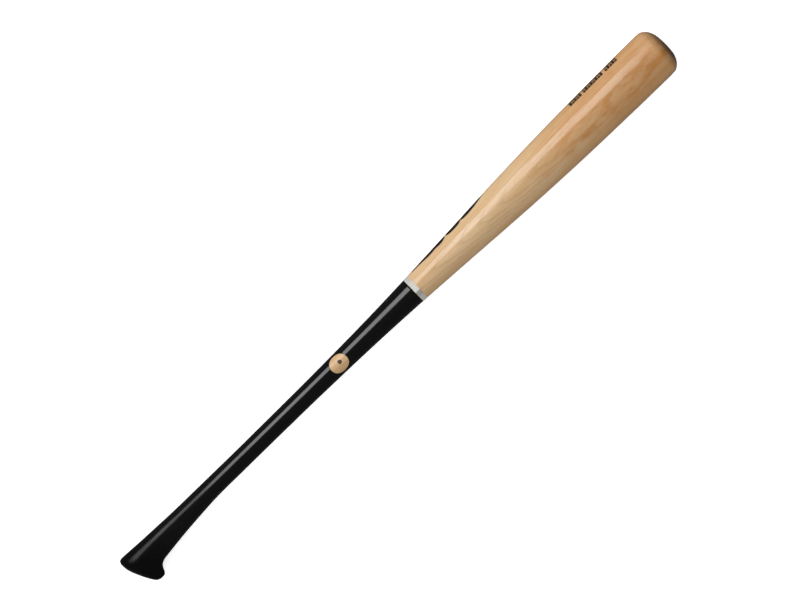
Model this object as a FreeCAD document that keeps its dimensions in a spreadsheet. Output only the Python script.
import FreeCAD, Part
import os
import Sketcher
from FreeCAD import Placement, Rotation, Vector

# Adult baseball bat turned from one maple billet, with an axe-style grip.
# Frame: the knob end is at the origin and +X runs up the bat's axis to the barrel. The hook of the
# grip points to -Y, its flush heel to +Y, and the ink dot on the face grain looks up, +Z.
# Sizes are finished sizes over the lacquer, in millimetres. The wood is one film smaller.

dimensions = {
    "length": 838.2,
    "film": 0.25,
    "ring_from": 445.7,
    "ring_to": 452.1,
    "window_x": 330.0,
    "window_half_length": 11.5,
    "window_half_width": 9.9,
    "dot_x": 331.9,
    "dot_y": 0.9,
    "dot_radius": 2.5,
    "centre_label_from": 456.0,
    "centre_label_length": 121.0,
    "centre_label_top": 62.0,
    "centre_label_wrap": 56.0,
    "end_label_from": 711.0,
    "end_label_length": 79.0,
    "end_label_top": 50.0,
    "end_label_wrap": 40.0,
}

# Control points of the turned handle, taper and barrel: name, distance from the knob end, radius.
turned_points = [
    ("join", 125.0, 11.3),
    ("slim", 200.0, 10.94),
    ("handle", 290.0, 11.54),
    ("rise", 370.0, 12.78),
    ("throat", 450.0, 16.21),
    ("flare", 540.0, 21.57),
    ("shoulder", 630.0, 26.5),
    ("belly", 710.0, 28.24),
    ("swell", 770.0, 29.6),
    ("barrel", 800.0, 29.6),
]

# Control points of the domed end: name, distance back from the tip, radius, and how much of the
# film's thickness lies along the axis there (1 on the end, 0 on the barrel's wall).
end_points = [
    ("rim", 16.0, 29.6, 0.0),
    ("corner", 13.0, 29.6, 0.0),
    ("round", 0.5, 23.9, 1.0),
    ("crown", 0.0, 7.5, 1.0),
]

# Rings of the carved grip, from the butt up to the round handle. Each ring is an oval between a
# point on the heel and a point on the hook side: name, heel distance from the knob end, heel
# height, hook distance from the knob end, hook depth, half width across the bat, and how much of
# the film's thickness lies square to the ring's plane (1 on the butt, 0 on the flanks).
grip_rings = [
    ("face_middle", 0.6, 2.0, 4.05, 8.5, 3.6, 1.0),
    ("face_inner", 0.12, 5.6, 6.6, 14.0, 6.8, 1.0),
    ("face_outer", 0.03, 8.9, 9.7, 20.3, 9.9, 1.0),
    ("face_edge", 0.5, 11.3, 13.6, 26.7, 12.5, 0.9),
    ("butt_edge", 1.6, 13.2, 17.5, 31.1, 14.0, 0.6),
    ("hook_tip", 4.5, 14.5, 23.6, 32.6, 14.6, 0.1),
    ("hook_back", 8.0, 14.55, 28.3, 31.2, 14.5, 0.0),
    ("hook_under", 11.0, 14.4, 31.6, 25.0, 14.1, 0.0),
    ("neck", 15.0, 14.2, 35.5, 21.1, 13.6, 0.0),
    ("little_finger", 24.0, 13.7, 42.5, 19.1, 12.9, 0.0),
    ("ring_finger", 40.0, 13.0, 53.0, 17.8, 12.2, 0.0),
    ("middle_finger", 59.0, 12.35, 67.0, 16.15, 11.65, 0.0),
    ("fore_finger", 81.0, 11.65, 86.0, 14.25, 11.4, 0.0),
    ("palm", 103.0, 11.4, 105.0, 12.75, 11.3, 0.0),
]
ring_columns = ["heel_x", "heel_y", "hook_x", "hook_y", "half_width", "endward"]

# The cutters that divide the finishes reach this far from the axis, about twice the barrel's radius,
# and the end ones run this far past the ends of the bat.
cutter_reach = 60
past_the_end = 10

doc = FreeCAD.newDocument("bat")
os.makedirs("parts", exist_ok=True)
sheet = doc.addObject("Spreadsheet::Sheet", "Sizes")
sheet_rows = 0


def add_size(alias, value):
    """Write one driving size into the next row of the sheet."""
    global sheet_rows
    sheet_rows += 1
    sheet.set("A%d" % sheet_rows, alias)
    sheet.set("B%d" % sheet_rows, str(value))
    sheet.setAlias("B%d" % sheet_rows, alias)


for alias, value in dimensions.items():
    add_size(alias, value)
for name, distance, radius in turned_points:
    add_size("turned_%s_x" % name, distance)
    add_size("turned_%s_radius" % name, radius)
for name, back, radius, endward in end_points:
    add_size("end_%s_back" % name, back)
    add_size("end_%s_radius" % name, radius)
    add_size("end_%s_endward" % name, endward)
for ring in grip_rings:
    for column, value in zip(ring_columns, ring[1:]):
        add_size("%s_%s" % (ring[0], column), value)
doc.recompute()


def origin_plane(body, role):
    """Give one of a body's own origin planes as a sketch support."""
    return (next(part for part in body.Origin.OriginFeatures if part.Role == role), [""])


def dimension(sketch, kind, targets, rule):
    """Add one dimension to a sketch, at the value of a rule on the sheet, and tie it to that rule."""
    value = sheet.evalExpression(rule)
    value = float(getattr(value, "Value", value))
    index = sketch.addConstraint(Sketcher.Constraint(kind, *targets, value))
    sketch.setExpression("Constraints[%d]" % index, rule)


def add_curve(sketch, pole_rules):
    """Add a smooth curve whose control points are all dimensioned from the sheet."""
    guesses = [Vector(sheet.evalExpression(x), sheet.evalExpression(y), 0) for x, y in pole_rules]
    curve = Part.BSplineCurve()
    curve.buildFromPoles(guesses, False, 3)
    curve_id = sketch.addGeometry(curve, False)
    sketch.exposeInternalGeometry(curve_id)
    for pole, (x_rule, y_rule) in enumerate(pole_rules, start=curve_id + 1):
        dimension(sketch, "DistanceX", (-1, 1, pole, 3), x_rule)
        if y_rule == "0":
            sketch.addConstraint(Sketcher.Constraint("PointOnObject", pole, 3, -1))
        else:
            dimension(sketch, "DistanceY", (-1, 1, pole, 3), y_rule)
    return curve_id


def add_line(sketch, start, finish):
    """Join two ends of the outline with a straight line."""
    line_id = sketch.addGeometry(Part.LineSegment(sketch.getPoint(*start), sketch.getPoint(*finish)), False)
    sketch.addConstraint(Sketcher.Constraint("Coincident", line_id, 1, *start))
    sketch.addConstraint(Sketcher.Constraint("Coincident", line_id, 2, *finish))
    return line_id


def turn_barrel(body, inset):
    """Turn the handle, taper, barrel and domed end about the bat's axis."""
    sketch = body.newObject("Sketcher::SketchObject", body.Name + "_outline")
    sketch.AttachmentSupport = origin_plane(body, "XY_Plane")
    sketch.MapMode = "FlatFace"
    side_rules = []
    for point in turned_points:
        alias = "Sizes.turned_" + point[0]
        side_rules.append((alias + "_x", "%s_radius - %s" % (alias, inset)))
    dome_rules = []
    for point in end_points:
        alias = "Sizes.end_" + point[0]
        x_rule = "Sizes.length - %s_back - %s_endward * %s" % (alias, alias, inset)
        dome_rules.append((x_rule, "%s_radius - %s" % (alias, inset)))
    dome_rules.append(("Sizes.length - " + inset, "0"))
    side = add_curve(sketch, side_rules)
    dome = add_curve(sketch, dome_rules)
    add_line(sketch, (side, 2), (dome, 1))
    base = sketch.addGeometry(Part.LineSegment(Vector(turned_points[0][1], 0, 0), sketch.getPoint(side, 1)))
    sketch.addConstraint(Sketcher.Constraint("PointOnObject", base, 1, -1))
    sketch.addConstraint(Sketcher.Constraint("Coincident", base, 2, side, 1))
    sketch.addConstraint(Sketcher.Constraint("Vertical", base))
    add_line(sketch, (dome, 2), (base, 1))
    turned = body.newObject("PartDesign::Revolution", body.Name + "_turned")
    turned.Profile = sketch
    turned.ReferenceAxis = (sketch, ["H_Axis"])
    turned.Angle = 360
    sketch.Visibility = False


def add_oval(sketch, half_depth_rule, half_width_rule):
    """Draw an oval about the sketch's origin, its long axis along the sketch's X."""
    half_depth = sheet.evalExpression(half_depth_rule)
    half_width = sheet.evalExpression(half_width_rule)
    oval = sketch.addGeometry(Part.Ellipse(Vector(0, 0, 0), half_depth, half_width), False)
    sketch.exposeInternalGeometry(oval)
    long_axis = oval + 1
    short_axis = oval + 2
    sketch.addConstraint(Sketcher.Constraint("Coincident", oval, 3, -1, 1))
    sketch.addConstraint(Sketcher.Constraint("Horizontal", long_axis))
    dimension(sketch, "Distance", (long_axis,), "2 * (%s)" % half_depth_rule)
    dimension(sketch, "Distance", (short_axis,), "2 * (%s)" % half_width_rule)


def add_grip_ring(body, name, inset):
    """Draw one oval ring of the grip on its own leaning plane."""
    alias = "Sizes." + name
    run = "(%s_hook_x - %s_heel_x)" % (alias, alias)
    rise = "(%s_heel_y + %s_hook_y)" % (alias, alias)
    lean = "atan(%s / %s)" % (run, rise)
    recess = "%s * %s_endward" % (inset, alias)
    sketch = body.newObject("Sketcher::SketchObject", "%s_%s" % (body.Name, name))
    sketch.AttachmentSupport = origin_plane(body, "YZ_Plane")
    sketch.MapMode = "FlatFace"
    sketch.AttachmentOffset = Placement(Vector(0, 0, 0), Rotation(Vector(0, 1, 0), 10))
    height_rule = "(%s_heel_y - %s_hook_y) / 2 + %s * sin(%s)" % (alias, alias, recess, lean)
    distance_rule = "(%s_heel_x + %s_hook_x) / 2 + %s * cos(%s)" % (alias, alias, recess, lean)
    sketch.setExpression("AttachmentOffset.Base.x", height_rule)
    sketch.setExpression("AttachmentOffset.Base.z", distance_rule)
    sketch.setExpression("AttachmentOffset.Rotation.Angle", lean)
    half_depth_rule = "sqrt(%s ^ 2 + %s ^ 2) / 2 - %s" % (run, rise, inset)
    add_oval(sketch, half_depth_rule, "%s_half_width - %s" % (alias, inset))
    sketch.Visibility = False
    return sketch


def add_round_ring(body, name, distance_rule, radius_rule):
    """Draw a round ring square to the axis, where the grip runs into the turned handle."""
    sketch = body.newObject("Sketcher::SketchObject", "%s_%s" % (body.Name, name))
    sketch.AttachmentSupport = origin_plane(body, "YZ_Plane")
    sketch.MapMode = "FlatFace"
    sketch.setExpression("AttachmentOffset.Base.z", distance_rule)
    circle = sketch.addGeometry(Part.Circle(Vector(0, 0, 0), Vector(0, 0, 1), 10), False)
    sketch.addConstraint(Sketcher.Constraint("Coincident", circle, 3, -1, 1))
    dimension(sketch, "Radius", (circle,), radius_rule)
    sketch.Visibility = False
    return sketch


def carve_grip(body, inset):
    """Blend the leaning rings of the axe grip into one smooth form, ending round at the handle."""
    rings = [add_grip_ring(body, ring[0], inset) for ring in grip_rings]
    radius_rule = "Sizes.turned_join_radius - " + inset
    rings.append(add_round_ring(body, "join", "Sizes.turned_join_x", radius_rule))
    doc.recompute()
    grip = body.newObject("PartDesign::AdditiveLoft", body.Name + "_grip")
    grip.Profile = rings[0]
    grip.Sections = rings[1:]
    grip.Ruled = False
    grip.Closed = False
    body.Tip = grip


def bat_form(name, inset):
    """Make the whole bat's outside form, set in from the finished surface by the inset."""
    body = doc.addObject("PartDesign::Body", name)
    turn_barrel(body, inset)
    doc.recompute()
    carve_grip(body, inset)
    doc.recompute()
    return body


def slab(name, from_rule, to_rule):
    """Make a block that takes in one stretch of the bat's length."""
    block = doc.addObject("Part::Box", name)
    block.Width = 2 * cutter_reach
    block.Height = 2 * cutter_reach
    block.Placement = Placement(Vector(0, -cutter_reach, -cutter_reach), Rotation())
    block.setExpression("Length", "%s - (%s)" % (to_rule, from_rule))
    block.setExpression("Placement.Base.x", from_rule)
    return block


def label_wedge(name):
    """Make the wedge, opening out from the bat's axis, that takes in one label's patch of skin.

    The label's top is its angle round the bat from straight up, and it wraps on down the heel side.
    """
    wedge = doc.addObject("Part::Cylinder", name + "_wedge")
    wedge.Radius = cutter_reach
    wedge.setExpression("Height", "Sizes.%s_length" % name)
    wedge.setExpression("Angle", "Sizes.%s_wrap" % name)
    along_bat = "rotation(vector(1; 1; 1); 120)"
    turn = "rotation(vector(1; 0; 0); 90 - Sizes.%s_top - Sizes.%s_wrap)" % (name, name)
    place = "placement(vector(Sizes.%s_from; 0; 0); %s * %s)" % (name, turn, along_bat)
    wedge.setExpression("Placement", place)
    return wedge


def upright_pin(name, x_rule, y_rule, radius_rule):
    """Make a round pin standing upright at one place and reaching up through the skin."""
    pin = doc.addObject("Part::Cylinder", name)
    pin.Height = cutter_reach
    pin.setExpression("Radius", radius_rule)
    pin.setExpression("Placement.Base.x", x_rule)
    pin.setExpression("Placement.Base.y", y_rule)
    return pin


def combine(kind, name, base, tool):
    """Make the cut or the common of two shapes."""
    result = doc.addObject(kind, name)
    result.Base = base
    result.Tool = tool
    return result


# The wood, and the thin skin of finishes between the wood and the finished surface.
maple_billet = bat_form("maple_billet", "Sizes.film")
finished_form = bat_form("finished_form", "0 * Sizes.film")
skin = combine("Part::Cut", "skin", finished_form, maple_billet)

# The three stretches of skin along the bat.
handle_stretch = slab("handle_stretch", "-%s" % past_the_end, "Sizes.ring_from")
ring_stretch = slab("ring_stretch", "Sizes.ring_from", "Sizes.ring_to")
barrel_stretch = slab("barrel_stretch", "Sizes.ring_to", "Sizes.length + %s" % past_the_end)

# The opening in the black coat. Its mask is a disc laid round the handle, so seen from above it
# is a little narrower than it is long.
opening_outline = doc.addObject("Part::Ellipse", "opening_outline")
opening_outline.setExpression("MajorRadius", "Sizes.window_half_length")
opening_outline.setExpression("MinorRadius", "Sizes.window_half_width")
opening_outline.setExpression("Placement.Base.x", "Sizes.window_x")
opening = doc.addObject("Part::Extrusion", "opening")
opening.Base = opening_outline
opening.DirMode = "Normal"
opening.LengthFwd = cutter_reach
opening.Solid = True
dot = upright_pin("dot", "Sizes.dot_x", "Sizes.dot_y", "Sizes.dot_radius")

coat_all_round = combine("Part::Common", "coat_all_round", skin, handle_stretch)
handle_lacquer = combine("Part::Cut", "handle_lacquer", coat_all_round, opening)
window_film = combine("Part::Common", "window_film", skin, opening)
window_lacquer = combine("Part::Cut", "window_lacquer", window_film, dot)
ink_dot = combine("Part::Common", "ink_dot", skin, dot)
ring_band = combine("Part::Common", "ring_band", skin, ring_stretch)

# The labels are inlaid in the clear coat, flush with it.
centre_wedge = label_wedge("centre_label")
end_wedge = label_wedge("end_label")
centre_label = combine("Part::Common", "centre_label", skin, centre_wedge)
end_label = combine("Part::Common", "end_label", skin, end_wedge)
clear_coat = combine("Part::Common", "clear_coat", skin, barrel_stretch)
both_wedges = doc.addObject("Part::MultiFuse", "both_wedges")
both_wedges.Shapes = [centre_wedge, end_wedge]
barrel_lacquer = combine("Part::Cut", "barrel_lacquer", clear_coat, both_wedges)
doc.recompute()

nodes = [
    maple_billet,
    handle_lacquer,
    window_lacquer,
    ink_dot,
    ring_band,
    barrel_lacquer,
    centre_label,
    end_label,
]

for part in doc.Objects:
    if "Invalid" in part.State or "Error" in part.State:
        raise RuntimeError("%s did not build: %s" % (part.Name, part.State))
for node in nodes:
    node.Label = node.Name
    shape = node.Shape
    if shape.isNull() or not shape.isValid() or len(shape.Solids) != 1:
        raise RuntimeError("%s is not one sound solid" % node.Label)
    shape.exportStep("parts/%s.step" % node.Label)
    print("%-16s %10.1f mm3" % (node.Label, shape.Volume))
print("finished length %.2f mm" % finished_form.Shape.optimalBoundingBox().XMax)
